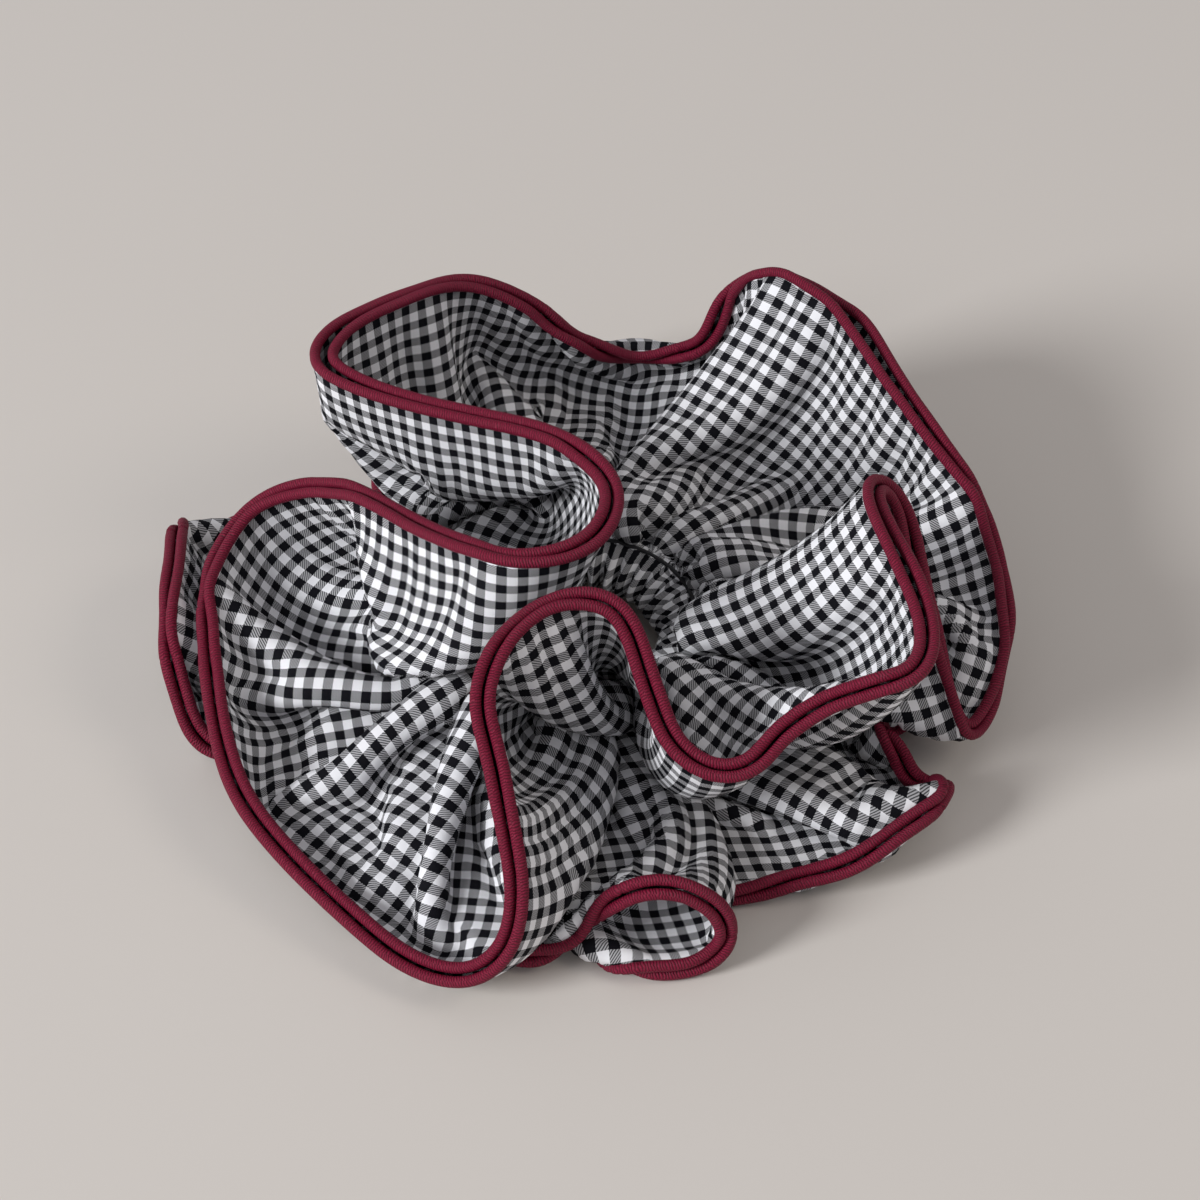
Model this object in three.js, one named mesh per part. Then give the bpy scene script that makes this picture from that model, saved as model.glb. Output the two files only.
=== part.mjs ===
// A large double ruffle scrunchie: two long strips of gingham cloth laid together, closed into loops
// and gathered on a hoop of elastic.  Two rows of stitching down the middle of the strips make the
// channel that the elastic runs in.  Above the channel the strips flare into the upper ruffle, below
// it into the lower ruffle, and all four long edges are overlocked in thick thread.
// Millimetres, +Z up.  The scrunchie lies on a table, z = 0.

import * as THREE from 'three';

// ---- driving dimensions -------------------------------------------------------------------------

const ELASTIC_RADIUS = 24;        // hoop, to the middle of the elastic's thickness
const ELASTIC_WIDTH = 6;
const ELASTIC_THICKNESS = 1.2;
const JOIN_LENGTH = 12;           // lap where the ends of the elastic are sewn together
const JOIN_THICKNESS = 1;
const JOIN_INSET = 0.5;           // the lap is this much narrower than the elastic on each side
const CHANNEL_CENTRE_Z = 9;       // height of the elastic above the table
const CHANNEL_HEIGHT = 9.2;       // cloth between the two rows of stitching
const CHANNEL_BULGE = 2.5;        // how far each wall bows away from the elastic's centre line
const WALL_EDGE_OFFSET = 0.9;     // each wall's distance from the stitching, beside it
const CLOTH_THICKNESS = 0.6;
const SEAM_THREAD_RADIUS = 0.5;
const SEAM_THREAD_OFFSET_Z = 5.6; // rows of stitching above and below the channel's centre
const RUFFLE_ROOT_RADIUS = 26;    // where the gathered cloth leaves the stitching
const LAYER_OFFSET = 0.8;         // each layer's distance from the middle of a ruffle
const HEM_OFFSET = 1.5;           // the same for the thicker overlocked edges
const HEM_RADIUS = 1.2;
const HEM_GAP = 0.4;              // clear of the cloth's own edge
const JOINT_GAP = 0.3;            // between pieces that touch
const SETTLE = 0.25;              // cloth this near to the table is pressed flat on it

const AROUND_RUFFLE = 106;        // columns of facets round a ruffle
const ACROSS_RUFFLE = 4;
const AROUND_RING = 48;
const ACROSS_WALL = 3;
const JOIN_SEGMENTS = 6;
const HEM_CORNERS = 5;
const THREAD_CORNERS = 6;

const CLOTH = { color: 0x6e6e73, roughness: 0.85, metalness: 0 };
const OVERLOCK = { color: 0x7a1734, roughness: 0.8, metalness: 0 };
const THREAD = { color: 0x17171a, roughness: 0.8, metalness: 0 };
const ELASTIC = { color: 0xe9e6df, roughness: 0.75, metalness: 0 };

// The two edges as they lie, from the back round by the left, the front and the right.  The ring's
// centre is x = y = 0.
const UPPER_EDGE = [
  [26, 72, 28], [13, 75, 24], [3, 70, 29], [-6, 68, 38], [-14, 67, 46], [-24, 65, 52], [-35, 58, 55],
  [-51, 45, 54], [-53, 37, 52], [-47, 31, 52], [-34, 23, 53], [-20, 16, 55], [-7, 9, 57], [2, 0, 58],
  [7, -10, 58], [5, -19, 57], [-2, -24, 56], [-13, -25, 55], [-23, -18, 52], [-46, 5, 45],
  [-58, 12, 40], [-68, 12, 34], [-74, 2, 29], [-74, -12, 24], [-68, -41, 15], [-60, -55, 12],
  [-38, -77, 7], [-28, -84, 6], [-19, -87, 8], [-13, -86, 14], [-11, -82, 22], [-14, -66, 38],
  [-17, -52, 48], [-9, -39, 54], [0, -36, 55], [7, -37, 54], [14, -49, 43], [18, -56, 37],
  [25, -60, 34], [32, -60, 35], [38, -54, 38], [51, -50, 45], [59, -51, 48], [64, -47, 50],
  [65, -37, 52], [58, -15, 57], [57, -8, 57], [59, -4, 56], [63, -4, 51], [66, -10, 42],
  [74, -23, 18], [77, -29, 10], [80, -26, 10], [86, -10, 18], [87, 1, 23], [85, 13, 29],
  [74, 28, 39], [66, 40, 45], [58, 55, 50], [49, 64, 52], [41, 70, 51], [35, 75, 44],
];
const LOWER_EDGE = [
  [12, 82, 4], [2, 88, 9], [-12, 86, 15], [-24, 78, 12], [-25, 66, 3], [-33, 63, 3], [-43, 63, 9],
  [-46, 53, 6], [-39, 46, 2], [-48, 41, 2], [-62, 42, 9], [-76, 43, 16], [-84, 34, 22],
  [-84, 20, 25], [-83, 4, 26], [-82, -12, 23], [-80, -26, 15], [-74, -33, 6], [-64, -33, 2],
  [-61, -42, 3], [-63, -50, 4], [-54, -57, 3], [-49, -54, 2], [-44, -60, 3], [-43, -66, 3],
  [-35, -69, 3], [-30, -64, 2], [-21, -70, 2], [-13, -78, 2], [-5, -80, 4], [2, -78, 10],
  [8, -77, 18], [16, -78, 21], [24, -79, 18], [30, -80, 9], [30, -74, 3], [35, -66, 2],
  [42, -62, 4], [53, -62, 9],
  [63, -57, 13], [69, -49, 14], [71, -40, 9], [66, -33, 3], [60, -26, 2], [65, -18, 2],
  [76, -14, 5], [84, -5, 9], [83, 6, 9], [74, 11, 3], [66, 16, 2], [70, 25, 3], [77, 32, 7],
  [74, 43, 10], [64, 45, 4], [56, 48, 2], [58, 57, 4], [60, 67, 10], [50, 72, 12], [40, 67, 4],
  [33, 60, 2], [27, 66, 2], [23, 75, 3],
];

const UPPER = {
  edge: UPPER_EDGE,
  rootAngle: 75 * Math.PI / 180,  // where on the ring the edge's first point is gathered
  rootZ: CHANNEL_CENTRE_Z + SEAM_THREAD_OFFSET_Z,
  leavesOut: 18,                  // the cloth leaves the ring outwards and upwards
  leavesUp: 26,
};
const LOWER = {
  edge: LOWER_EDGE,
  rootAngle: 80 * Math.PI / 180,
  rootZ: CHANNEL_CENTRE_Z - SEAM_THREAD_OFFSET_Z,
  leavesOut: 30,                  // and here it sags on to the table
  leavesUp: -6,
};

// ---- shapes -------------------------------------------------------------------------------------

// A closed band: the same closed outline of points at each step round the object, joined up.
function closedBand(outlines) {
  const steps = outlines.length;
  const corners = outlines[0].length;
  const positions = outlines.flat().flatMap((p) => [p.x, p.y, p.z]);
  const triangles = [];
  for (let i = 0; i < steps; i += 1) {
    const here = i * corners;
    const next = ((i + 1) % steps) * corners;
    for (let j = 0; j < corners; j += 1) {
      const k = (j + 1) % corners;
      triangles.push(here + j, next + k, here + k, here + j, next + j, next + k);
    }
  }
  const geometry = new THREE.BufferGeometry();
  geometry.setAttribute('position', new THREE.Float32BufferAttribute(positions, 3));
  geometry.setIndex(triangles);
  geometry.computeVertexNormals();
  return geometry;
}

// A ring about the z axis with the given [radius, z] outline, counter-clockwise seen with the
// radius to the right and z up.
function ring(outline) {
  const outlines = [];
  for (let i = 0; i < AROUND_RING; i += 1) {
    const angle = 2 * Math.PI * i / AROUND_RING;
    outlines.push(outline.map(([radius, z]) => (
      new THREE.Vector3(radius * Math.cos(angle), radius * Math.sin(angle), z))));
  }
  return closedBand(outlines);
}

function threadOutline(radius, z) {
  const outline = [];
  for (let j = 0; j < THREAD_CORNERS; j += 1) {
    const turn = 2 * Math.PI * j / THREAD_CORNERS;
    outline.push([radius + SEAM_THREAD_RADIUS * Math.cos(turn), z + SEAM_THREAD_RADIUS * Math.sin(turn)]);
  }
  return outline;
}

// The middle surface of a ruffle, as columns of points from the stitching out to the edge.
function ruffleColumns({ edge, rootAngle, rootZ, leavesOut, leavesUp }) {
  const points = edge.map(([x, y, z]) => new THREE.Vector3(x, y, z));
  const curve = new THREE.CatmullRomCurve3(points, true, 'centripetal');
  const columns = [];
  for (let i = 0; i < AROUND_RUFFLE; i += 1) {
    const share = i / AROUND_RUFFLE;
    const angle = rootAngle + 2 * Math.PI * share;
    const out = new THREE.Vector3(Math.cos(angle), Math.sin(angle), 0);
    const root = out.clone().multiplyScalar(RUFFLE_ROOT_RADIUS).setZ(rootZ);
    const bend = root.clone().addScaledVector(out, leavesOut);
    bend.z += leavesUp;
    const line = new THREE.QuadraticBezierCurve3(root, bend, curve.getPointAt(share));
    columns.push(line.getPoints(ACROSS_RUFFLE));
  }
  return columns;
}

// Unit normals of that surface, on the side of the ring's hole.
function columnNormals(columns) {
  const steps = columns.length;
  return columns.map((column, i) => column.map((point, j) => {
    const before = columns[(i + steps - 1) % steps][j];
    const after = columns[(i + 1) % steps][j];
    const inner = column[Math.max(0, j - 1)];
    const outer = column[Math.min(column.length - 1, j + 1)];
    const around = after.clone().sub(before);
    const across = outer.clone().sub(inner);
    return across.cross(around).normalize();
  }));
}

// A point moved along its normal, and kept on or above the table.  Where both layers lie flat the
// one that is on top is held up by the thickness of the other.
function shifted(point, normal, offset, size, stack) {
  const moved = point.clone().addScaledVector(normal, offset);
  const onTop = (1 + Math.sign(offset) * normal.z) / 2;
  moved.z = Math.max(moved.z, size + stack * onTop);
  return moved;
}

function pressedFlat(point) {
  if (point.z < SETTLE) point.z = 0;
  return point;
}

// One layer of a ruffle, at an offset along the normals.
function clothLayer(columns, normals, offset) {
  const stack = 2 * LAYER_OFFSET;
  const half = CLOTH_THICKNESS / 2;
  return closedBand(columns.map((column, i) => {
    const middle = column.map((p, j) => shifted(p, normals[i][j], offset, half, stack));
    const lower = middle.map((p, j) => p.clone().addScaledVector(normals[i][j], -half));
    const upper = middle.map((p, j) => p.clone().addScaledVector(normals[i][j], half));
    return [...lower, ...upper.reverse()].map(pressedFlat);
  }));
}

// The overlocked edge of one layer: a round cord of thread just past the cloth's own edge.
function hemCord(columns, normals, offset) {
  const steps = columns.length;
  const last = columns[0].length - 1;
  const centres = columns.map((column, i) => {
    const along = columns[(i + 1) % steps][last].clone().sub(columns[(i + steps - 1) % steps][last]);
    const outward = along.cross(normals[i][last]).normalize();
    const centre = column[last].clone().addScaledVector(outward, HEM_RADIUS + HEM_GAP);
    return shifted(centre, normals[i][last], offset, HEM_RADIUS, 2 * HEM_OFFSET);
  });
  return closedBand(centres.map((centre, i) => {
    const along = centres[(i + 1) % steps].clone().sub(centres[(i + steps - 1) % steps]).normalize();
    const up = normals[i][last].clone().addScaledVector(along, -along.dot(normals[i][last]));
    up.normalize();
    const side = along.clone().cross(up);
    const outline = [];
    for (let j = 0; j < HEM_CORNERS; j += 1) {
      const turn = 2 * Math.PI * j / HEM_CORNERS;
      const corner = centre.clone();
      corner.addScaledVector(side, HEM_RADIUS * Math.cos(turn));
      corner.addScaledVector(up, HEM_RADIUS * Math.sin(turn));
      outline.push(pressedFlat(corner));
    }
    return outline;
  }));
}

// ---- pieces -------------------------------------------------------------------------------------

const object = new THREE.Group();

function addPiece(name, geometry, look) {
  const mesh = new THREE.Mesh(geometry, new THREE.MeshStandardMaterial(look));
  mesh.name = name;
  object.add(mesh);
}

// The elastic: a hoop of flat elastic with its ends lapped and sewn.
function addElastic() {
  const inside = ELASTIC_RADIUS - ELASTIC_THICKNESS / 2;
  const outside = ELASTIC_RADIUS + ELASTIC_THICKNESS / 2;
  const low = CHANNEL_CENTRE_Z - ELASTIC_WIDTH / 2;
  const high = CHANNEL_CENTRE_Z + ELASTIC_WIDTH / 2;
  addPiece('elastic_band', ring([[inside, low], [outside, low], [outside, high], [inside, high]]),
    ELASTIC);
  const shape = new THREE.Shape();
  const start = outside + JOINT_GAP;
  const half = JOIN_LENGTH / 2 / start;
  shape.absarc(0, 0, start + JOIN_THICKNESS, -half, half, false);
  shape.absarc(0, 0, start, half, -half, true);
  const lap = new THREE.ExtrudeGeometry(shape, {
    depth: ELASTIC_WIDTH - 2 * JOIN_INSET, bevelEnabled: false, curveSegments: JOIN_SEGMENTS,
  });
  lap.translate(0, 0, low + JOIN_INSET);
  addPiece('elastic_join', lap, ELASTIC);
}

// The two walls of the channel, bowed round the elastic between the two rows of stitching.
function addChannel() {
  const wall = (side) => {
    const facing = [];
    const away = [];
    for (let j = 0; j <= ACROSS_WALL; j += 1) {
      const t = j / ACROSS_WALL;
      const z = CHANNEL_CENTRE_Z + (t - 0.5) * CHANNEL_HEIGHT;
      const bow = WALL_EDGE_OFFSET + (CHANNEL_BULGE - WALL_EDGE_OFFSET) * Math.sin(Math.PI * t);
      facing.push([ELASTIC_RADIUS + JOINT_GAP + side * bow, z]);
      away.push([ELASTIC_RADIUS + JOINT_GAP + side * (bow + CLOTH_THICKNESS), z]);
    }
    return side > 0 ? [...away, ...facing.reverse()] : [...facing, ...away.reverse()];
  };
  addPiece('channel_wall_outer', ring(wall(1)), CLOTH);
  addPiece('channel_wall_inner', ring(wall(-1)), CLOTH);
  for (const [name, side] of [['seam_thread_upper', 1], ['seam_thread_lower', -1]]) {
    const z = CHANNEL_CENTRE_Z + side * SEAM_THREAD_OFFSET_Z;
    addPiece(name, ring(threadOutline(ELASTIC_RADIUS + JOINT_GAP, z)), THREAD);
  }
}

// A ruffle's two layers and their overlocked edges.  The inner layer comes from the strip that
// faces the hole: it is on top in the upper ruffle and underneath in the lower one.
function addRuffle(name, ruffle, innerSide) {
  const columns = ruffleColumns(ruffle);
  const normals = columnNormals(columns);
  for (const [layer, side] of [['inner', innerSide], ['outer', -innerSide]]) {
    addPiece(`${name}_ruffle_${layer}`, clothLayer(columns, normals, side * LAYER_OFFSET), CLOTH);
    addPiece(`${name}_hem_${layer}`, hemCord(columns, normals, side * HEM_OFFSET), OVERLOCK);
  }
}

addElastic();
addChannel();
addRuffle('upper', UPPER, 1);
addRuffle('lower', LOWER, -1);

// The origin is the middle of the footprint, on the table.
const box = new THREE.Box3().setFromObject(object);
const middle = box.getCenter(new THREE.Vector3());
const group = new THREE.Group();
object.position.set(-middle.x, -middle.y, -box.min.z);
group.add(object);
group.updateMatrixWorld(true);

export default group;
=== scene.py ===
"""A large double ruffle scrunchie in black and white gingham with burgundy overlocked edges.

Two equal strips of cloth, each closed into a loop, lie together and are stitched along their middle in
two rows.  The channel between the rows holds a hoop of elastic, which gathers the cloth.  Above the
channel the strips make the upper ruffle, below it the lower one.  Both ruffles are relaxed here by a
small cloth solver (position based, numpy), from a smooth surface between the ring and the edge's path.

The solver works in millimetres, with the ring's centre at x = y = 0 and the table at z = 0.
"""

import math

import bpy
import numpy as np
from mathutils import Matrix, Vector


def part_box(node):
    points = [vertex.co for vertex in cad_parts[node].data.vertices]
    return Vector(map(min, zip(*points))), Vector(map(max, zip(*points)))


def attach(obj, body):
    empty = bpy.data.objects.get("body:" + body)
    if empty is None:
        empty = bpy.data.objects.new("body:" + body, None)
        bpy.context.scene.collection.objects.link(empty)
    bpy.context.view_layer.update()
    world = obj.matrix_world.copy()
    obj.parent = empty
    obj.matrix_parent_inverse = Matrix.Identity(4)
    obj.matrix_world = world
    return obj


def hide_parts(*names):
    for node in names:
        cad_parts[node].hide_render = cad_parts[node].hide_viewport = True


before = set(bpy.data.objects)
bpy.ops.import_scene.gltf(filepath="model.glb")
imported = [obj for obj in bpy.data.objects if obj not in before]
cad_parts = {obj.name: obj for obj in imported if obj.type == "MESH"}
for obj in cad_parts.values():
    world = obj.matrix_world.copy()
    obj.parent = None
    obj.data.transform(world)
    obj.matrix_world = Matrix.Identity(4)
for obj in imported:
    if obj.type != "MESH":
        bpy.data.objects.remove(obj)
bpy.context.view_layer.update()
SCENE = bpy.context.scene

# ---- dimensions, millimetres ---------------------------------------------------------------------

MM = 0.001
ELASTIC_RADIUS = 24.0
CHANNEL_Z = 9.0               # height of the elastic's middle above the table
SEAM_OFFSET_Z = 5.6           # rows of stitching above and below it
ROOT_RADIUS = 25.2            # where the gathered cloth leaves the stitching
GATHERS_CLEAR = 4.4           # gathers of a ruffle stay this far above or below the elastic's middle
LAYERS_APART = 0.5            # and one layer's gathers are this much nearer to it, the other's farther
WALL_BOW = 5.6                # how far each wall of the channel bows away from the elastic
RUFFLE_WIDTH = 75.0           # cloth from the stitching to the edge
CHANNEL_CLOTH = 20.0          # cloth between the two rows of stitching
CHANNEL_PLEATS = 36
CHANNEL_ROWS = 9              # of points on each wall of the channel
CHANNEL_RIPPLE = 1.5          # half the height of the gathers in its walls
CHANNEL_SHOWN = 1.3           # cloth that shows round the channel, for its length; the rest is hidden
CLOTH_THICKNESS = 0.45
CHECK_REPEAT = 3.75           # one dark and one light check
YARN = 0.2
TWILL = 0.52                  # of the fine slanted lines in the half-dark checks, along the cloth
FLOOR_GAP = 0.05              # cloth that lies on the table is this far above it
HEM_RADIUS = 1.12
HEM_CORNERS = 10
THREAD_PITCH = 0.55           # of the overlock thread's turns, along the edge
HEM_OFFSET = 1.34             # each overlocked edge's distance from the middle of its ruffle
ROOT_ANGLE = 77.0             # degrees round the ring to the first point of both edges
FOLDS = 22                    # broad folds round the ring, in the middle of a ruffle's width
PLEATS = 50                   # small ones, where the elastic gathers the cloth

UPPER_EDGE = [
    (26, 72, 28), (13, 75, 24), (3, 70, 29), (-6, 68, 38), (-14, 67, 46), (-24, 65, 52), (-35, 58, 55),
    (-51, 45, 54), (-53, 37, 52), (-47, 31, 52), (-34, 23, 53), (-20, 16, 55), (-7, 9, 57), (2, 0, 58),
    (7, -10, 58), (5, -19, 57), (-2, -24, 56), (-13, -25, 55), (-23, -18, 52), (-46, 5, 45),
    (-58, 12, 40), (-68, 12, 34), (-74, 2, 29), (-74, -12, 24), (-68, -41, 15), (-60, -55, 12),
    (-38, -77, 7), (-28, -84, 6), (-19, -87, 8), (-13, -86, 14), (-11, -82, 22), (-14, -66, 38),
    (-17, -52, 48), (-9, -39, 54), (0, -36, 55), (7, -37, 54), (14, -49, 43), (18, -56, 37),
    (25, -60, 34), (32, -60, 35), (38, -54, 38), (51, -50, 45), (59, -51, 48), (64, -47, 50),
    (65, -37, 52), (58, -15, 57), (57, -8, 57), (59, -4, 56), (63, -4, 51), (66, -10, 42),
    (74, -23, 18), (77, -29, 10), (80, -26, 10), (86, -10, 18), (87, 1, 23), (85, 13, 29),
    (74, 28, 39), (66, 40, 45), (58, 55, 50), (49, 64, 52), (41, 70, 51), (35, 75, 44)]
LOWER_EDGE = [
    (12, 82, 4), (2, 88, 9), (-12, 86, 15), (-24, 78, 12), (-25, 66, 3), (-33, 63, 3), (-43, 63, 9),
    (-46, 53, 6), (-39, 46, 2), (-48, 41, 2), (-63, 34, 3), (-74, 31, 4), (-82, 25, 15),
    (-84, 17, 24), (-83, 4, 26), (-82, -10, 23), (-80, -21, 14), (-74, -26, 4), (-64, -28, 2),
    (-56, -39, 3), (-54, -47, 3), (-49, -52, 3), (-45, -50, 2), (-41, -56, 3), (-38, -61, 3),
    (-33, -64, 3), (-29, -62, 2), (-21, -69, 2), (-12, -79, 3), (-5, -78, 4), (1, -75, 8),
    (6, -74, 14), (13, -75, 19), (20, -76, 19), (26, -76, 14), (28, -77, 8), (25, -80, 3.5),
    (19, -82, 2.6), (13, -82, 2.6), (7, -79, 2.6), (2, -75, 2.6), (0, -70, 2.6), (4, -66, 2.6),
    (12, -65, 2.6), (22, -65, 2.6), (32, -63, 2.6), (42, -61, 4), (53, -60, 8), (62, -54, 11),
    (69, -48, 12), (72, -41, 11), (68, -39, 5), (62, -33, 2.6), (64, -20, 2), (76, -14, 5),
    (84, -5, 9), (83, 6, 9), (74, 11, 3), (66, 16, 2), (70, 25, 3), (77, 32, 7), (74, 43, 10),
    (64, 45, 4), (56, 48, 2), (58, 57, 4), (60, 67, 10), (50, 72, 12), (40, 67, 4), (33, 60, 2),
    (27, 66, 2), (23, 75, 3)]
# Stretches of the lower edge that lie open; the rest of it is fluted to take up the cloth's length.
LOWER_OPEN = [((-82, 25, 15), (-80, -21, 14)), ((-21, -69, 2), (68, -39, 5))]
# Here the upper ruffle lies on it, so its flutes are low.
LOWER_PRESSED = [((-74, -26, 4), (-21, -69, 2))]
# Where the cloth's spare width goes, at places along each edge: the share of the bulge that is
# outwards and upwards, and the most that the bend point moves.
UPPER_SLACK = [
    ((26, 72, 28), 0.75, -0.65, 90), ((-13, -25, 55), 0.75, -0.65, 90), ((-46, 5, 45), 0.3, -0.65, 25),
    ((-68, 12, 34), 0.0, 0.2, 8), ((-74, -12, 24), 0.0, 0.8, 24), ((-38, -77, 7), 0.0, 0.8, 34),
    ((-13, -86, 14), 0.0, 0.8, 20), ((-14, -66, 38), 0.3, 0.5, 10), ((0, -36, 55), 0.7, -0.2, 14),
    ((14, -49, 43), 0.2, 0.6, 14), ((32, -60, 35), 0.0, 0.8, 26), ((64, -47, 50), 0.1, 0.6, 20),
    ((57, -8, 57), 0.6, 0.2, 16), ((66, -10, 42), 0.3, 0.4, 14), ((80, -26, 10), 0.0, 0.8, 24),
    ((87, 1, 23), 0.0, 0.8, 24), ((85, 13, 29), 0.3, 0.1, 12), ((66, 40, 45), 0.75, -0.65, 90)]
LOWER_SLACK = [
    ((12, 82, 4), 0, 1, 10), ((-12, 86, 15), 0, 1, 8), ((-43, 63, 9), 0, 1, 26), ((-74, 31, 4), 0, 1, 46),
    ((-83, 4, 26), 0, 1, 20), ((-29, -62, 2), 0, 1, 16), ((-5, -78, 4), 0, 1, 24),
    ((6, -74, 14), 0, 1, 36), ((20, -76, 19), 0, 1, 44), ((28, -77, 8), 0, 1, 40),
    ((19, -82, 2.6), 0, 1, 30), ((2, -75, 2.6), 0, 1, 18), ((12, -65, 2.6), 0, 1, 10),
    ((42, -61, 4), 0, 1, 20), ((72, -41, 11), 0, 1, 34), ((62, -33, 2.6), 0, 1, 34)]

# Places where the two layers' edges part: how far round that goes, and how much wider they are.
PARTED = [((55, 58, 50), 24, 1.1), ((-52, 40, 54), 12, 0.5), ((66, -20, 50), 12, 0.5)]

COLUMNS = 432                 # of points round a ruffle; a multiple of 16
ROWS = 39                     # from the stitching to the edge
# How far each layer stands from the middle of its ruffle, at distances from the stitching.
LAYER_AT = [0, 6, 20, 60, 75]
LAYER_OFFSET = [0.32, 0.45, 0.7, 0.8, 1.3]

# Cloth solver.
COARSE_STEPS, FINE_STEPS = ((300, 150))
LOWER_GRAVITY = 0.01          # millimetres per step
UPPER_GRAVITY = 0.008
BEND_NEAR = 0.08              # stiffness against bending, over two points and over four
BEND_FAR = 0.015
DAMPING = 0.9
HEM_HOLD = 0.2                # share of its way back to its path that an edge moves in a step
FASTEST = 0.5                 # millimetres that cloth may move in a step
CELL = 2.0                    # of the grid that holds the lower ruffle's top
CELLS = 110

elastic_box = np.array(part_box("elastic_band"), float) / MM
RING_CENTRE = elastic_box.mean(0)
RING_CENTRE[2] = 0


def place(points):
    """Solver millimetres to the frame's metres."""
    return (np.asarray(points) + RING_CENTRE) * MM


# ---- curves --------------------------------------------------------------------------------------

def smooth_loop(points, steps=24):
    """A closed centripetal Catmull-Rom curve through the points, with steps places to each span."""
    p1 = np.array(points, float)
    p0, p2, p3 = np.roll(p1, 1, 0), np.roll(p1, -1, 0), np.roll(p1, -2, 0)
    knots = [np.zeros(len(p1))]
    for a, b in ((p0, p1), (p1, p2), (p2, p3)):
        knots.append(knots[-1] + np.linalg.norm(b - a, axis=1) ** 0.5)
    t0, t1, t2, t3 = (k[:, None, None] for k in knots)
    t = t1 + (t2 - t1) * np.linspace(0, 1, steps, endpoint=False)[None, :, None]
    p0, p1, p2, p3 = (p[:, None, :] for p in (p0, p1, p2, p3))
    a1 = ((t1 - t) * p0 + (t - t0) * p1) / (t1 - t0)
    a2 = ((t2 - t) * p1 + (t - t1) * p2) / (t2 - t1)
    a3 = ((t3 - t) * p2 + (t - t2) * p3) / (t3 - t2)
    b1 = ((t2 - t) * a1 + (t - t0) * a2) / (t2 - t0)
    b2 = ((t3 - t) * a2 + (t - t1) * a3) / (t3 - t1)
    return (((t2 - t) * b1 + (t - t1) * b2) / (t2 - t1)).reshape(-1, 3)


def run_along(loop):
    closed = np.vstack([loop, loop[:1]])
    return np.concatenate([[0], np.cumsum(np.linalg.norm(np.diff(closed, axis=0), axis=1))])


def even_places(loop, count):
    """Equally spaced places on a closed polyline, and its length."""
    run = run_along(loop)
    closed = np.vstack([loop, loop[:1]])
    at = np.arange(count) * run[-1] / count
    return np.stack([np.interp(at, run, closed[:, k]) for k in range(3)], axis=1), run[-1]


def nearest(loop, point):
    return np.linalg.norm(loop - point, axis=1).argmin()


def outside(loop, spans, fade=12.0):
    """0 within the spans of a closed path, and 1 from fade millimetres outside them."""
    run = run_along(loop)
    total = run[-1]
    share = np.ones(len(loop))
    for first, last in spans:
        start = run[nearest(loop, first)]
        reach = (run[nearest(loop, last)] - start) / 2
        away = np.abs((run[:-1] - start - reach + total / 2) % total - total / 2)
        share = np.minimum(share, np.clip((away - reach) / fade, 0, 1))
    return share * share * (3 - 2 * share)


def fluted(loop, length, wavelength=27.0):
    """The lower edge's path with flutes where it isn't open, as tall as makes it that long."""
    run = run_along(loop)[:-1]
    hidden = outside(loop, LOWER_OPEN) * (0.3 + 0.7 * outside(loop, LOWER_PRESSED))
    tall = 0.15 + 0.7 * outside(loop, LOWER_PRESSED)
    along = np.roll(loop, -1, 0) - np.roll(loop, 1, 0)
    side = np.stack([along[:, 1], -along[:, 0], 0 * run], 1)
    side /= np.linalg.norm(side, axis=1, keepdims=True)
    wave = run / wavelength * 2 * math.pi + 1.3 * np.sin(run / 61) + 0.9 * np.sin(run / 37)
    low, high = 0.0, 20.0
    for _ in range(30):
        height = (low + high) / 2
        lift = height * hidden
        path = loop + side * (lift * 0.55 * np.cos(wave))[:, None]
        path[:, 2] += lift * tall * (1 + np.sin(wave))
        if run_along(path)[-1] < length:
            low = height
        else:
            high = height
    return path


# ---- cloth solver --------------------------------------------------------------------------------
# A ruffle is an array (rows, columns, 3): row 0 at the stitching, the last row at the edge, the
# columns round the ring.

def normals(cloth):
    around = np.roll(cloth, -1, 1) - np.roll(cloth, 1, 1)
    across = np.gradient(cloth, axis=0)
    n = np.cross(across, around)
    return n / np.maximum(np.linalg.norm(n, axis=2, keepdims=True), 1e-9)


def pull(a, b, rest, press, stretch):
    """Moves pairs of points towards their rest distance, in place."""
    d = b - a
    length = np.sqrt((d * d).sum(-1)) + 1e-9
    error = length - rest
    stiffness = np.where(error > 0, stretch, press)
    move = d * (0.5 * stiffness * error / length)[..., None]
    a += move
    b -= move


def pull_around(cloth, apart, rest, press, stretch):
    rows, columns, _ = cloth.shape
    for shift in (0, apart):
        pairs = np.roll(cloth, -shift, axis=1).reshape(rows, columns // (2 * apart), 2 * apart, 3)
        pull(pairs[:, :, :apart], pairs[:, :, apart:], rest, press, stretch)
        cloth[:] = np.roll(pairs.reshape(rows, columns, 3), shift, axis=1)


def pull_across(cloth, apart, rest, press, stretch):
    rows = np.arange(len(cloth) - apart)
    for colour in (0, 1):
        j = rows[(rows // apart) % 2 == colour]
        a, b = cloth[j], cloth[j + apart]
        pull(a, b, rest, press, stretch)
        cloth[j], cloth[j + apart] = a, b


def pull_shear(cloth, rest, press, stretch):
    for side in (1, -1):
        for start in (0, 1):
            j = np.arange(start, len(cloth) - 1, 2)
            a, b = cloth[j], np.roll(cloth[j + 1], -side, axis=1)
            pull(a, b, rest, press, stretch)
            cloth[j], cloth[j + 1] = a, np.roll(b, side, axis=1)


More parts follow.
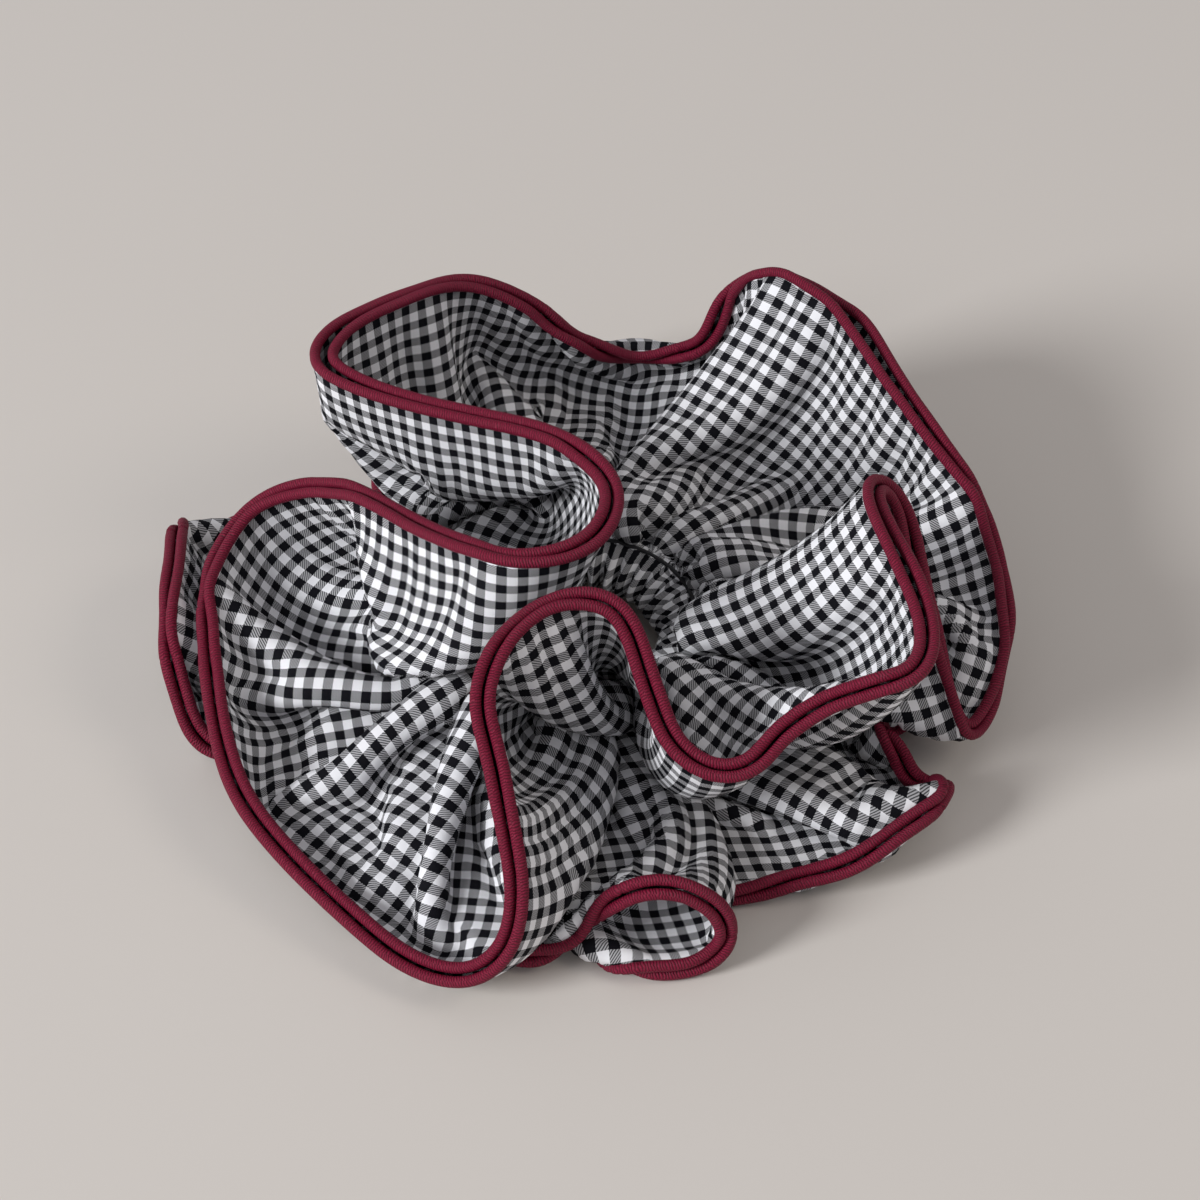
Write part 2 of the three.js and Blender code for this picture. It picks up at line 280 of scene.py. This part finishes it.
def near_pairs(points, radius):
    """Every pair of points nearer to each other than radius, each once."""
    cell = np.floor(points / radius).astype(np.int64)
    cell -= cell.min(0) - 1
    size = cell.max(0) + 2
    key = (cell[:, 0] * size[1] + cell[:, 1]) * size[2] + cell[:, 2]
    order = np.argsort(key, kind="stable")
    sorted_key = key[order]
    found = []
    for step in np.ndindex(3, 3, 3):
        dx, dy, dz = (s - 1 for s in step)
        if (dx, dy, dz) < (0, 0, 0):
            continue
        other = key + (dx * size[1] + dy) * size[2] + dz
        first = np.searchsorted(sorted_key, other, "left")
        count = np.searchsorted(sorted_key, other, "right") - first
        i = np.repeat(np.arange(len(points)), count)
        run = np.arange(count.sum()) - np.repeat(np.cumsum(count) - count, count)
        j = order[np.repeat(first, count) + run]
        if (dx, dy, dz) == (0, 0, 0):
            i, j = i[i < j], j[i < j]
        d = points[i] - points[j]
        near = (d * d).sum(1) < radius * radius
        found.append((i[near], j[near]))
    return (np.concatenate([f[k] for f in found]) for k in (0, 1))


def finer(cloth):
    """Twice the columns and twice the rows, by straight halving."""
    rows, columns, _ = cloth.shape
    tall = np.empty((2 * rows - 1, columns, 3))
    tall[::2] = cloth
    tall[1::2] = (cloth[1:] + cloth[:-1]) / 2
    wide = np.empty((2 * rows - 1, 2 * columns, 3))
    wide[:, ::2] = tall
    wide[:, 1::2] = (tall + np.roll(tall, -1, 1)) / 2
    return wide


class Ruffle:
    """One ruffle's cloth while it settles."""

    CONTACT = 2.5             # both layers' thickness, and the least distance between folds
    FLOOR = 1.1
    HEM_FLOOR = 2.6

    def __init__(self, edge, root_z, gravity, length):
        columns, rows = COLUMNS // 2, (ROWS + 1) // 2
        self.hem = even_places(edge, columns)[0]
        self.length = length
        self.gravity = gravity
        angle = math.radians(ROOT_ANGLE) + 2 * math.pi * np.arange(columns) / columns
        self.away = np.stack([np.cos(angle), np.sin(angle), 0 * angle], 1)
        self.root = self.away * ROOT_RADIUS
        self.root[:, 2] = root_z
        self.share = np.linspace(0, 1, rows)[:, None, None]

    def lay(self, bend):
        """Every column leaves the ring towards its own bend point, and curves from there to the edge."""
        t = self.share
        self.cloth = (1 - t) ** 2 * self.root + 2 * t * (1 - t) * bend + t ** 2 * self.hem
        return self.cloth

    def lay_out(self, edge, slack, lowest):
        """Each column bulges until its cloth is as long as it should be, or as far as it may."""
        columns = len(self.hem)
        run = run_along(edge)
        total = run[-1]
        at = np.array([run[nearest(edge, place)] for place, *_ in slack])
        here = np.arange(columns) * total / columns
        out, up, most = (np.interp(here, at, [row[k] for row in slack], period=total) for k in (1, 2, 3))
        way = self.away * out[:, None]
        way[:, 2] = up
        lean = np.interp(up, [0, 0.8], [0.5, 0.27])[:, None]
        middle = self.root + (self.hem - self.root) * lean
        low, high = np.zeros(columns), most
        for _ in range(30):
            bend = middle + way * ((low + high) / 2)[:, None]
            bend[:, 2] = np.maximum(bend[:, 2], lowest)
            line = np.linalg.norm(np.diff(self.lay(bend), axis=0), axis=2).sum(0)
            high = np.where(line > RUFFLE_WIDTH, (low + high) / 2, high)
            low = np.where(line > RUFFLE_WIDTH, low, (low + high) / 2)
        for _ in range(6):
            bend = (np.roll(bend, 1, 0) + 2 * bend + np.roll(bend, -1, 0)) / 4
        line = np.linalg.norm(np.diff(self.lay(bend), axis=0), axis=2).sum(0)
        self.width = np.minimum(line * 1.04, RUFFLE_WIDTH)

    def pleat(self, count, share, near, far):
        """Bends the cloth into that many pleats, between two distances from the ring."""
        rows, columns, _ = self.cloth.shape
        t = np.linspace(0, RUFFLE_WIDTH, rows)
        round_row = np.linalg.norm(np.roll(self.cloth, -1, 1) - self.cloth, axis=2).sum(1)
        spare = np.maximum(self.length ** 2 - round_row ** 2, 0)
        fade = np.clip(t / near, 0, 1) * np.clip((far - t) / (far - near), 0, 1)
        height = share * 0.25 / count * np.sqrt(spare) * fade
        wave, uneven = pleat_wave(columns, count)
        self.cloth = self.cloth + normals(self.cloth) * (height[:, None] * (wave * uneven))[..., None]

    def settle(self, steps, under=None):
        """Relaxes the cloth; under is the ruffle that it lies on."""
        obstacle = None if under is None else under.cloth.reshape(-1, 3)
        ground = None if under is None else under.heights()
        cloth = self.cloth
        rows, columns, _ = cloth.shape
        du = self.length / columns
        dv = RUFFLE_WIDTH / (rows - 1)
        own = self.widths()[None, :] / (rows - 1)
        root, hem = cloth[0].copy(), cloth[-1].copy()
        t = np.linspace(0, RUFFLE_WIDTH, rows)
        press = 0.9 * np.clip((t - 2) / 10, 0, 1)[:, None, None]
        row_of = np.repeat(np.arange(rows), columns)
        column_of = np.tile(np.arange(columns), rows)
        floor = np.where(t > RUFFLE_WIDTH - 3, self.HEM_FLOOR, self.FLOOR)[:, None]
        before = cloth.copy()
        for step in range(steps):
            speed = (cloth - before) * DAMPING
            before = cloth.copy()
            fastest = np.sqrt((speed * speed).sum(-1, keepdims=True)) + 1e-9
            cloth += speed * np.minimum(1, FASTEST / fastest)
            cloth[..., 2] -= self.gravity
            pull_around(cloth, 2, 2 * du, BEND_NEAR * press, 0)
            pull_across(cloth, 2, 2 * own, BEND_NEAR, 0)
            pull_around(cloth, 4, 4 * du, BEND_FAR * press, 0)
            pull_across(cloth, 4, 4 * own, BEND_FAR, 0)
            pull_shear(cloth, math.hypot(du, dv), 0.1, 0.3)
            pull_around(cloth, 1, du, press, 1)
            pull_across(cloth, 1, own, 0.9, 1)
            points = cloth.reshape(-1, 3)
            if step % 8 == 0:
                i, j = near_pairs(points, self.CONTACT + 1)
                dr = np.abs(row_of[i] - row_of[j]) * dv
                dc = np.abs(column_of[i] - column_of[j])
                dc = np.minimum(dc, columns - dc) * du
                apart = np.hypot(dr, dc) > self.CONTACT * 1.35
                apart &= np.maximum(row_of[i], row_of[j]) * dv > 8
                i, j = i[apart], j[apart]
                if obstacle is not None:
                    both = np.vstack([points, obstacle])
                    a, b = near_pairs(both, self.CONTACT + 1)
                    mixed = (a < len(points)) != (b < len(points))
                    a, b = a[mixed], b[mixed]
                    mine = np.minimum(a, b)
                    other = np.maximum(a, b) - len(points)
            d = points[j] - points[i]
            gap = np.sqrt((d * d).sum(1)) + 1e-9
            close = gap < self.CONTACT
            push = d[close] * (0.3 * (self.CONTACT - gap[close]) / gap[close])[:, None]
            for axis in range(3):
                points[:, axis] += np.bincount(j[close], push[:, axis], len(points))
                points[:, axis] -= np.bincount(i[close], push[:, axis], len(points))
            if obstacle is not None:
                d = points[mine] - obstacle[other]
                gap = np.sqrt((d * d).sum(1)) + 1e-9
                close = gap < self.CONTACT
                push = d[close] * (0.7 * (self.CONTACT - gap[close]) / gap[close])[:, None]
                share = np.maximum(1, np.bincount(mine[close], minlength=len(points)))
                for axis in range(3):
                    points[:, axis] += np.bincount(mine[close], push[:, axis], len(points)) / share
            if ground is not None:
                top = ground[cell_of(cloth[..., 0]), cell_of(cloth[..., 1])] + self.CONTACT
                lift = np.where(top - cloth[..., 2] < 10, top - cloth[..., 2], 0)
                cloth[4:, :, 2] += np.clip(lift, 0, FASTEST)[4:]
            cloth[..., 2] = np.maximum(cloth[..., 2], floor)
            cloth[0] = root
            cloth[-1] += (hem - cloth[-1]) * HEM_HOLD

    def widths(self):
        """Each column's cloth from the stitching to the edge."""
        columns = self.cloth.shape[1]
        return np.interp(np.arange(columns) / columns, np.arange(len(self.width)) / len(self.width),
                         self.width, period=1)

    def heights(self):
        """The cloth's top over a grid of cells, as seen from above."""
        points = self.cloth.reshape(-1, 3)
        top = np.full((CELLS, CELLS), -10.0)
        np.maximum.at(top, (cell_of(points[:, 0]), cell_of(points[:, 1])), points[:, 2])
        for axis in (0, 1):
            top = np.maximum(top, np.maximum(np.roll(top, 1, axis), np.roll(top, -1, axis)))
        return top


def cell_of(distance):
    return np.clip((distance / CELL + CELLS / 2).astype(int), 0, CELLS - 1)


dice = np.random.RandomState(5)
PLEAT_DRIFT = [(m, dice.normal() * 0.9 / m ** 0.5, dice.uniform(0, 6.28)) for m in range(1, 9)]
PLEAT_UNEVEN = [(3, 0.35, dice.uniform(0, 6.28)), (7, 0.3, dice.uniform(0, 6.28))]


def pleat_wave(columns, count):
    """Round the ring: the pleats' wave, and how much taller or lower each is."""
    angle = np.arange(columns) / columns * 2 * math.pi
    drift = sum(size * np.sin(m * angle + phase) for m, size, phase in PLEAT_DRIFT)
    uneven = 1 + sum(size * np.sin(m * angle + phase) for m, size, phase in PLEAT_UNEVEN)
    return np.sin(count * angle + drift), uneven


def make_ruffles():
    upper_edge = smooth_loop(UPPER_EDGE)
    length = run_along(upper_edge)[-1]
    lower_edge = fluted(smooth_loop(LOWER_EDGE), length)
    lower = Ruffle(lower_edge, CHANNEL_Z - SEAM_OFFSET_Z, LOWER_GRAVITY, length)
    lower.lay_out(lower_edge, LOWER_SLACK, 2)
    upper = Ruffle(upper_edge, CHANNEL_Z + SEAM_OFFSET_Z, UPPER_GRAVITY, length)
    upper.lay_out(upper_edge, UPPER_SLACK, 7)
    for ruffle in (lower, upper):
        ruffle.pleat(FOLDS, 0.55, near=12, far=62)
        ruffle.pleat(PLEATS, 0.6, near=4, far=30)
    lower.settle(COARSE_STEPS)
    upper.settle(COARSE_STEPS, lower)
    lower.cloth = finer(lower.cloth)
    lower.settle(FINE_STEPS)
    upper.cloth = finer(upper.cloth)
    upper.settle(FINE_STEPS, lower)
    return upper, lower, length


# ---- meshes --------------------------------------------------------------------------------------

def link(name, mesh):
    piece = bpy.data.objects.new(name, mesh)
    SCENE.collection.objects.link(piece)
    return piece


def grid_piece(name, points, u, v, material, closed_rows=False):
    """A smooth sheet or tube: rows of points that close round the columns.

    u is by row of faces and one more column than points, so that the pattern runs on to the join; v is
    by row and column of points.
    """
    rows, columns, _ = points.shape
    row = np.arange(rows if closed_rows else rows - 1)[:, None]
    column = np.arange(columns)[None, :]
    next_row = (row + 1) % rows
    next_column = (column + 1) % columns
    corners = [row * columns + column, row * columns + next_column,
               next_row * columns + next_column, next_row * columns + column]
    faces = np.stack([np.broadcast_to(c, (len(row), columns)) for c in corners], -1).reshape(-1, 4)
    mesh = bpy.data.meshes.new(name)
    mesh.vertices.add(rows * columns)
    mesh.vertices.foreach_set("co", place(points).reshape(-1))
    mesh.loops.add(faces.size)
    mesh.loops.foreach_set("vertex_index", faces.reshape(-1))
    mesh.polygons.add(len(faces))
    mesh.polygons.foreach_set("loop_start", np.arange(0, faces.size, 4))
    mesh.update(calc_edges=True)
    pattern = mesh.uv_layers.new(name="pattern")
    us = np.stack([u[row, c] for c in (column, column + 1, column + 1, column)], -1)
    vs = np.stack([v[r, c] for r, c in ((row, column), (row, next_column),
                                        (row + 1, next_column), (row + 1, column))], -1)
    uv = np.stack([us, vs], -1)
    pattern.data.foreach_set("uv", uv.reshape(-1).astype(np.float32))
    mesh.shade_smooth()
    mesh.validate()
    mesh.materials.append(material)
    return link(name, mesh)


def whole_repeat(length):
    """The checks' repeat, so that a whole number of them goes round."""
    return length / round(length / CHECK_REPEAT)


def parting(cloth):
    """How much further apart than elsewhere the two edges lie: at the tips of the upper ruffle's lobes."""
    away = [np.linalg.norm(cloth[-1] - place, axis=1) / reach for place, reach, _ in PARTED]
    return 1 + sum(more * np.exp(-a ** 2) for a, (_, _, more) in zip(away, PARTED))


def layer_offset(cloth):
    """Each layer's distance from the middle of its ruffle, more where the edges are parted."""
    t = np.linspace(0, RUFFLE_WIDTH, len(cloth))
    offset = np.interp(t, LAYER_AT, LAYER_OFFSET)[:, None]
    spread = np.clip((t[:, None] - 30) / 45, 0, 1) ** 1.5
    return (offset * (1 + (parting(cloth)[None, :] - 1) * spread))[..., None]


def clear_of_elastic(cloth, way, clear):
    """Keeps the gathers that far from the channel's middle: above it (way +1) or below it (way -1)."""
    away = np.abs(np.hypot(cloth[..., 0], cloth[..., 1]) - ELASTIC_RADIUS)
    least = clear - 1.5 * np.maximum(away - 2.5, 0)
    cloth[..., 2] = CHANNEL_Z + way * np.maximum(way * (cloth[..., 2] - CHANNEL_Z), least)


def strip(name, ruffles, side, length, material):
    """One whole strip of cloth, from the upper edge through the channel to the lower edge.

    side is +1 for the strip that faces the hole and -1 for the one that faces away.
    """
    (upper, upper_width), (lower, lower_width) = ((r.cloth, r.widths()) for r in ruffles)
    rows, columns, _ = upper.shape
    top = upper + normals(upper) * layer_offset(upper) * side
    bottom = lower - normals(lower) * layer_offset(lower) * side
    clear_of_elastic(top, 1, GATHERS_CLEAR + LAYERS_APART * side)
    clear_of_elastic(bottom, -1, GATHERS_CLEAR + LAYERS_APART * side)
    bottom[..., 2] = np.maximum(bottom[..., 2], CLOTH_THICKNESS / 2 + FLOOR_GAP)
    t = np.linspace(0, 1, CHANNEL_ROWS + 2)[1:-1, None]
    angle = math.radians(ROOT_ANGLE) + 2 * math.pi * np.arange(columns) / columns
    wave, uneven = pleat_wave(columns, CHANNEL_PLEATS)
    bow = np.sin(math.pi * t) ** 0.6
    ripple = CHANNEL_RIPPLE * (1 + wave * uneven) * np.sin(math.pi * t)
    radius = ROOT_RADIUS - (ROOT_RADIUS - ELASTIC_RADIUS) * bow - side * (WALL_BOW * bow + ripple)
    height = CHANNEL_Z + SEAM_OFFSET_Z * (1 - 2 * t) + 0 * radius
    wall = np.stack([radius * np.cos(angle), radius * np.sin(angle), height], -1)
    points = np.concatenate([top[::-1], wall, bottom])
    around = np.arange(columns + 1) / columns
    shown = round(CHANNEL_SHOWN * 2 * math.pi * ROOT_RADIUS / CHECK_REPEAT) * whole_repeat(length)
    u = np.repeat((around * length)[None, :], len(points), axis=0)
    u[rows - 1:rows + CHANNEL_ROWS] = around * shown
    from_edge = np.linspace(0, 1, rows)[:, None]
    half = RUFFLE_WIDTH + CHANNEL_CLOTH / 2
    wall_v = np.repeat((0.5 - t) * CHANNEL_CLOTH, columns, axis=1)
    v = np.concatenate([half - from_edge * upper_width, wall_v, from_edge[::-1] * lower_width - half])
    thick = normals(points) * CLOTH_THICKNESS / 2
    points = np.concatenate([points + thick, (points - thick)[::-1]])
    points[..., 2] = np.maximum(points[..., 2], FLOOR_GAP)
    u = np.concatenate([u[:-1], u[:1], u[:-1][::-1], u[:1]])
    v = np.concatenate([v, v[::-1], v[:1]])
    return grid_piece(name, points, u, v, material, closed_rows=True)


def hem(name, cloth, side, material):
    """The overlocked edge of one layer: a cord of thread along the edge of its cloth."""
    n = normals(cloth)[-1]
    edge = cloth[-1]
    along = np.roll(edge, -1, 0) - np.roll(edge, 1, 0)
    along /= np.linalg.norm(along, axis=1, keepdims=True)
    outward = edge - cloth[-3]
    outward -= along * (outward * along).sum(1, keepdims=True)
    outward /= np.linalg.norm(outward, axis=1, keepdims=True)
    centre = edge + outward * HEM_RADIUS * 0.55 + n * (HEM_OFFSET * side * parting(cloth))[:, None]
    for _ in range(3):
        centre = (np.roll(centre, 1, 0) + 2 * centre + np.roll(centre, -1, 0)) / 4
    centre, length = even_places(smooth_loop(centre, 3), 2 * COLUMNS)
    centre[:, 2] = np.maximum(centre[:, 2], HEM_RADIUS)
    along = np.roll(centre, -1, 0) - np.roll(centre, 1, 0)
    along /= np.linalg.norm(along, axis=1, keepdims=True)
    n = np.repeat(n, 2, axis=0)
    up = n - along * (n * along).sum(1, keepdims=True)
    up /= np.linalg.norm(up, axis=1, keepdims=True)
    sideways = np.cross(along, up)
    turn = 2 * math.pi * np.arange(HEM_CORNERS) / HEM_CORNERS
    ring = np.cos(turn)[:, None, None] * sideways + np.sin(turn)[:, None, None] * up
    points = centre + HEM_RADIUS * ring
    columns = len(centre)
    u = np.repeat(np.arange(columns + 1)[None, :] / columns * length, HEM_CORNERS, axis=0)
    v = np.arange(HEM_CORNERS + 1)[:, None] / HEM_CORNERS * 2 * math.pi * HEM_RADIUS
    v = np.repeat(v, columns, axis=1)
    return grid_piece(name, points, u, v, material, closed_rows=True)


# ---- materials -----------------------------------------------------------------------------------

class Nodes:
    """A short way to write a material's nodes."""

    def __init__(self, name):
        self.material = bpy.data.materials.new(name)
        self.material.use_nodes = True
        self.tree = self.material.node_tree
        self.shader = self.tree.nodes["Principled BSDF"]

    def new(self, kind, **values):
        node = self.tree.nodes.new(kind)
        for key, value in values.items():
            setattr(node, key, value)
        return node

    def wire(self, value, socket):
        if isinstance(value, bpy.types.NodeSocket):
            self.tree.links.new(value, socket)
        else:
            socket.default_value = value

    def math(self, operation, *values):
        node = self.new("ShaderNodeMath", operation=operation)
        for value, socket in zip(values, node.inputs):
            self.wire(value, socket)
        return node.outputs[0]

    def mix(self, factor, a, b):
        node = self.new("ShaderNodeMix", data_type="RGBA")
        self.wire(factor, node.inputs[0])
        self.wire(a, node.inputs[6])
        self.wire(b, node.inputs[7])
        return node.outputs[2]

    def noise(self, vector, scale, detail=3.0):
        node = self.new("ShaderNodeTexNoise")
        self.wire(vector, node.inputs["Vector"])
        node.inputs["Scale"].default_value = scale
        node.inputs["Detail"].default_value = detail
        return node.outputs["Fac"]

    def pattern(self):
        """The pattern's two coordinates in millimetres, and the vector of both."""
        uv = self.new("ShaderNodeUVMap", uv_map="pattern").outputs[0]
        split = self.new("ShaderNodeSeparateXYZ")
        self.wire(uv, split.inputs[0])
        return split.outputs[0], split.outputs[1], uv

    def bump(self, height, strength, distance):
        node = self.new("ShaderNodeBump")
        self.wire(height, node.inputs["Height"])
        node.inputs["Strength"].default_value = strength
        node.inputs["Distance"].default_value = distance
        self.wire(node.outputs[0], self.shader.inputs["Normal"])


def gingham(length):
    """Plain weave in two colours of yarn: white, dark, and half-and-half checks."""
    m = Nodes("gingham")
    u, v, uv = m.pattern()
    repeat = whole_repeat(length)
    dark = []
    for axis in (u, v):
        place_in_repeat = m.math("FRACT", m.math("DIVIDE", axis, repeat))
        dark.append(m.math("LESS_THAN", place_in_repeat, 0.5))
    cells = [m.math("DIVIDE", axis, YARN) for axis in (u, v)]
    over = m.math("LESS_THAN", m.math("FRACT", m.math("DIVIDE", m.math("ADD", u, v), TWILL)), 0.5)
    warp = m.math("MULTIPLY", over, dark[0])
    weft = m.math("MULTIPLY", m.math("SUBTRACT", 1.0, over), dark[1])
    yarn = m.math("ADD", warp, weft)
    both = m.math("MULTIPLY", m.math("ADD", *dark), 0.5)
    check = m.math("POWER", both, 0.25)
    show = m.math("ADD", m.math("MULTIPLY", yarn, 0.45), m.math("MULTIPLY", check, 0.55))
    cloudy = m.noise(uv, 0.12)
    white = m.mix(cloudy, (0.82, 0.82, 0.85, 1), (0.90, 0.90, 0.92, 1))
    black = m.mix(cloudy, (0.004, 0.004, 0.006, 1), (0.008, 0.008, 0.011, 1))
    m.wire(m.mix(show, white, black), m.shader.inputs["Base Color"])
    rounded = [m.math("ABSOLUTE", m.math("SINE", m.math("MULTIPLY", c, math.pi))) for c in cells]
    height = m.math("ADD", m.math("MULTIPLY", rounded[0], over),
                    m.math("MULTIPLY", rounded[1], m.math("SUBTRACT", 1.0, over)))
    crease = m.noise(uv, 0.35, 4.0)
    m.bump(m.math("ADD", m.math("MULTIPLY", height, 0.12), m.math("MULTIPLY", crease, 1.6)), 0.35, 0.0005)
    m.shader.inputs["Roughness"].default_value = 0.82
    m.shader.inputs["Specular IOR Level"].default_value = 0.08
    return m.material


def overlock():
    """Thread wound closely over the cloth's edge, a little slanted; its colour has painted shade in the
    grooves between the turns.
    """
    m = Nodes("overlock")
    u, v, uv = m.pattern()
    wobble = m.math("MULTIPLY", m.noise(uv, 0.9, 4.0), 1.5)
    slanted = m.math("ADD", m.math("DIVIDE", u, THREAD_PITCH), m.math("MULTIPLY", v, 0.35))
    turns = m.math("ADD", slanted, wobble)
    wave = m.math("SINE", m.math("MULTIPLY", turns, 2 * math.pi))
    thread = m.math("POWER", m.math("MULTIPLY", m.math("ADD", wave, 1.0), 0.5), 0.5)
    fibre = m.noise(uv, 3.5, 4.0)
    # Painted shade: the colour darkens to a quarter in the grooves between the thread's turns, times the
    # fibre's random tone.
    tone_with_groove_shade = m.math("MULTIPLY", m.math("ADD", 0.25, m.math("MULTIPLY", thread, 0.75)),
                  m.math("ADD", 0.15, m.math("MULTIPLY", fibre, 1.4)))
    m.wire(m.mix(tone_with_groove_shade, (0.026, 0.0008, 0.005, 1), (0.25, 0.004, 0.036, 1)), m.shader.inputs["Base Color"])
    m.bump(m.math("ADD", thread, m.math("MULTIPLY", fibre, 0.8)), 0.8, 0.00022)
    m.shader.inputs["Roughness"].default_value = 0.6
    m.shader.inputs["Specular IOR Level"].default_value = 0.3
    return m.material


def plain_thread():
    m = Nodes("seam_thread")
    coords = m.new("ShaderNodeTexCoord").outputs["Object"]
    twist = m.noise(coords, 2500)
    m.wire(m.mix(twist, (0.006, 0.006, 0.008, 1), (0.03, 0.03, 0.034, 1)), m.shader.inputs["Base Color"])
    m.bump(twist, 0.4, 0.0001)
    m.shader.inputs["Roughness"].default_value = 0.7
    return m.material


def ribbed_elastic():
    """Woven elastic: fine ribs along the hoop, with painted shade in the grooves between them."""
    m = Nodes("elastic")
    coords = m.new("ShaderNodeTexCoord").outputs["Object"]
    split = m.new("ShaderNodeSeparateXYZ")
    m.wire(coords, split.inputs[0])
    rib = m.math("ABSOLUTE", m.math("SINE", m.math("MULTIPLY", split.outputs[2], math.pi / 0.0008)))
    fleck = m.noise(coords, 1800)
    # Painted shade: the colour darkens from cream to grey-brown in the grooves between the ribs, times a
    # random fleck.
    tone_with_groove_shade = m.math("MULTIPLY", rib, m.math("ADD", 0.6, m.math("MULTIPLY", fleck, 0.5)))
    m.wire(m.mix(tone_with_groove_shade, (0.42, 0.40, 0.36, 1), (0.80, 0.78, 0.73, 1)), m.shader.inputs["Base Color"])
    m.bump(rib, 0.5, 0.0003)
    m.shader.inputs["Roughness"].default_value = 0.75
    return m.material


def table_top():
    m = Nodes("table")
    coords = m.new("ShaderNodeTexCoord").outputs["Object"]
    m.wire(m.mix(m.noise(coords, 3.0), (0.645, 0.605, 0.56, 1), (0.665, 0.625, 0.58, 1)),
           m.shader.inputs["Base Color"])
    m.shader.inputs["Roughness"].default_value = 0.55
    return m.material


# ---- the scrunchie -------------------------------------------------------------------------------

upper_ruffle, lower_ruffle, strip_length = make_ruffles()
gingham_cloth = gingham(strip_length)
burgundy = overlock()
for ruffle, made, inner_side in (("upper", upper_ruffle, 1), ("lower", lower_ruffle, -1)):
    for layer, side in (("inner", inner_side), ("outer", -inner_side)):
        piece = hem(f"{ruffle}_edge_{layer}", made.cloth, side, burgundy)
        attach(piece, "cloth")
        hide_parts(f"{ruffle}_hem_{layer}")
for layer, side in (("inner", 1), ("outer", -1)):
    piece = strip(f"strip_{layer}", (upper_ruffle, lower_ruffle), side, strip_length, gingham_cloth)
    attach(piece, "cloth")
    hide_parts(f"upper_ruffle_{layer}", f"channel_wall_{layer}", f"lower_ruffle_{layer}")

thread = plain_thread()
for name in ("seam_thread_upper", "seam_thread_lower"):
    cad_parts[name].data.materials.clear()
    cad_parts[name].data.materials.append(thread)
elastic = ribbed_elastic()
for name in ("elastic_band", "elastic_join"):
    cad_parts[name].data.materials.clear()
    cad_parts[name].data.materials.append(elastic)

# ---- stage, light and camera ---------------------------------------------------------------------

TABLE_SIZE = 40               # metres, so that its far edge never shows
CAMERA_DOWN = 44              # degrees below level

bpy.ops.mesh.primitive_plane_add(size=TABLE_SIZE)
table = bpy.context.object
table.name = "table"
table.data.materials.append(table_top())

world = bpy.data.worlds.new("room")
SCENE.world = world
world.use_nodes = True
world.node_tree.nodes["Background"].inputs[0].default_value = (0.97, 0.96, 1.0, 1)
world.node_tree.nodes["Background"].inputs[1].default_value = 0.40


def soft_light(name, location, size, power, colour):
    lamp = bpy.data.lights.new(name, "AREA")
    lamp.shape = "DISK"
    lamp.size = size
    lamp.energy = power
    lamp.color = colour
    light = bpy.data.objects.new(name, lamp)
    SCENE.collection.objects.link(light)
    light.location = location
    target = np.array([0, 0, 0.02]) - np.array(location)
    light.rotation_euler = (math.atan2(math.hypot(target[0], target[1]), -target[2]), 0,
                            math.atan2(target[1], target[0]) - math.pi / 2)


soft_light("window", (-2.2, -1.2, 1.4), 1.0, 70, (0.97, 0.98, 1.0))
soft_light("room_fill", (1.6, -0.2, 1.6), 1.0, 7, (1.0, 0.92, 0.82))

lens = bpy.data.cameras.new("camera")
lens.lens = 76.5
lens.sensor_width = 36
camera = bpy.data.objects.new("camera", lens)
SCENE.collection.objects.link(camera)
camera.location = place([4.29, -375.93, 382.67])
camera.rotation_euler = (math.radians(90 - CAMERA_DOWN), 0, 0)
SCENE.camera = camera
SCENE.view_settings.view_transform = "Standard"
